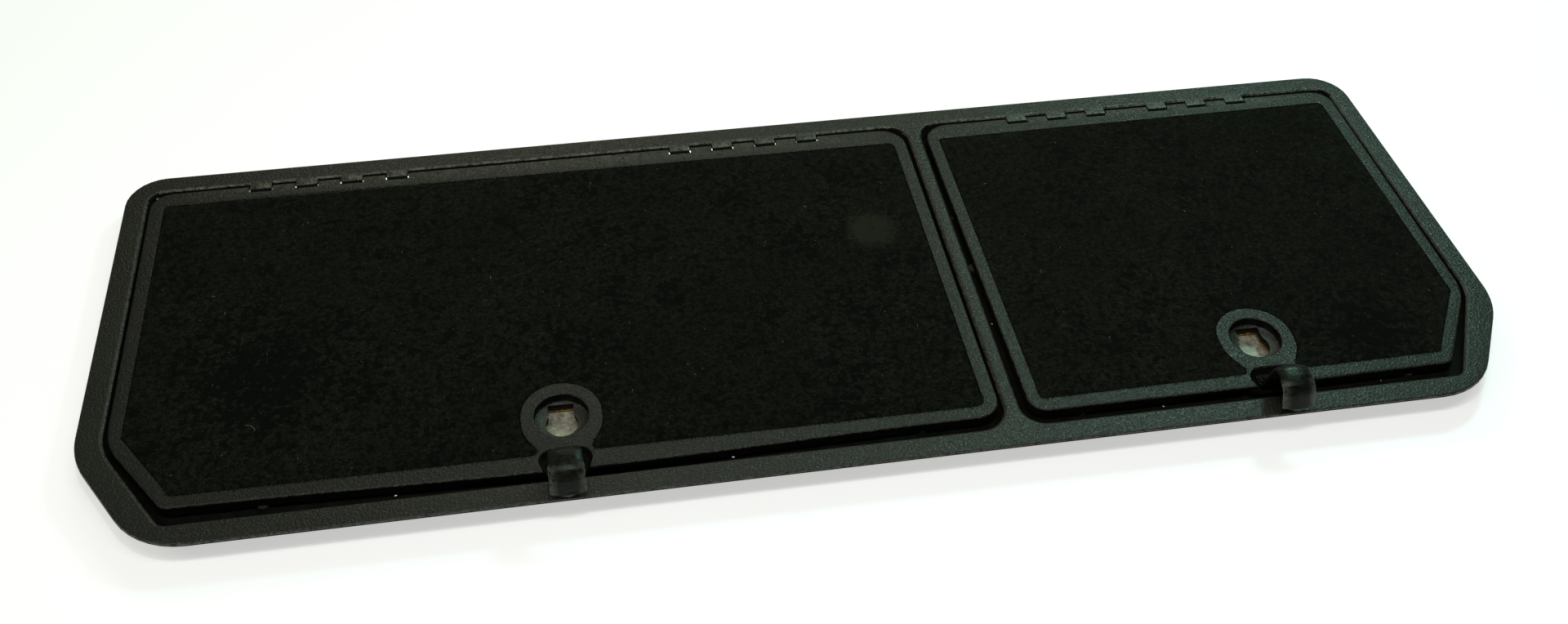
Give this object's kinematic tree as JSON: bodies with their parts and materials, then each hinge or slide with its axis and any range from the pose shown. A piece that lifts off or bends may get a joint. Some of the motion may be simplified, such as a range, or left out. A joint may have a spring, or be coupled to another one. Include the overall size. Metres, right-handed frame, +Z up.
{
  "type": "floor access hatch",
  "caption": "Black moulded floor hatch frame with a large and a small hinged carpeted lid, each with a keyed lock boss and a pull tab.",
  "frame": {"origin": "middle of the bounding box's underside, which is the plane of the feet", "axes": "+X along the hinge rods towards the small lid, +Y from the front edge with the pull tabs to the hinges, +Z up"},
  "size_m": [1.059, 0.3837, 0.0489],
  "materials": {
    "frame_plastic": "black moulded plastic, fine low-gloss grain, light scuffs",
    "lid_plastic": "black moulded plastic, fine low-gloss grain, shinier on worn edges",
    "carpet": "black short-pile needle-punched carpet with frayed edges and lint",
    "tab_vinyl": "dark brown-black flexible vinyl strap, half gloss",
    "bright_steel": "bright drawn steel",
    "zinc_plate": "zinc-plated steel, slightly dulled",
    "yellow_zinc": "yellow passivated zinc plating",
    "black_steel": "black-coated steel",
    "rubber": "black rubber",
    "fibreboard": "dark grey pressed fibreboard"
  },
  "bodies": {
    "frame": {"frame_moulding": "frame_plastic", "large_hinge_rod": "bright_steel", "large_keeper": "zinc_plate", "large_keeper_rivet_1": "black_steel", "large_keeper_rivet_2": "black_steel", "rest_bumper_1": "rubber", "rest_bumper_2": "rubber", "rest_bumper_3": "rubber", "rest_bumper_4": "rubber", "rest_bumper_5": "rubber", "rest_bumper_6": "rubber", "small_hinge_rod": "bright_steel", "small_keeper": "zinc_plate", "small_keeper_rivet_1": "black_steel", "small_keeper_rivet_2": "black_steel"},
    "large_bolt": {"large_lock_bolt": "zinc_plate"},
    "large_lid": {"large_backing_panel": "fibreboard", "large_bolt_housing": "zinc_plate", "large_carpet": "carpet", "large_housing_rivet_1": "bright_steel", "large_housing_rivet_2": "bright_steel", "large_housing_rivet_3": "bright_steel", "large_housing_rivet_4": "bright_steel", "large_lid_moulding": "lid_plastic", "large_lock_collar": "yellow_zinc", "large_panel_screw_1": "zinc_plate", "large_panel_screw_2": "zinc_plate", "large_panel_screw_3": "zinc_plate", "large_panel_screw_4": "zinc_plate", "large_panel_screw_5": "zinc_plate", "large_panel_screw_6": "zinc_plate", "large_pull_tab": "tab_vinyl", "large_tab_clamp": "black_steel", "large_tab_screw_1": "black_steel", "large_tab_screw_2": "black_steel"},
    "small_bolt": {"small_lock_bolt": "zinc_plate"},
    "small_lid": {"small_backing_panel": "fibreboard", "small_bolt_housing": "zinc_plate", "small_carpet": "carpet", "small_housing_rivet_1": "bright_steel", "small_housing_rivet_2": "bright_steel", "small_housing_rivet_3": "bright_steel", "small_housing_rivet_4": "bright_steel", "small_lid_moulding": "lid_plastic", "small_lock_collar": "yellow_zinc", "small_panel_screw_1": "zinc_plate", "small_panel_screw_2": "zinc_plate", "small_panel_screw_3": "zinc_plate", "small_panel_screw_4": "zinc_plate", "small_pull_tab": "tab_vinyl", "small_tab_clamp": "black_steel", "small_tab_screw_1": "black_steel", "small_tab_screw_2": "black_steel"}
  },
  "joints": [
    {"name": "large_lid_hinge", "type": "hinge", "parent": "frame", "child": "large_lid", "pos_m": [-0.1948, 0.17, 0.0181], "axis": [-1, 0, 0], "range_deg": [0, 90]},
    {"name": "small_lid_hinge", "type": "hinge", "parent": "frame", "child": "small_lid", "pos_m": [0.3232, 0.17, 0.0181], "axis": [-1, 0, 0], "range_deg": [0, 90]},
    {"name": "large_bolt_slide", "type": "slide", "parent": "large_lid", "child": "large_bolt", "axis": [0, -1, 0], "range_m": [0, 0.009]},
    {"name": "small_bolt_slide", "type": "slide", "parent": "small_lid", "child": "small_bolt", "axis": [0, -1, 0], "range_m": [0, 0.009]}
  ]
}
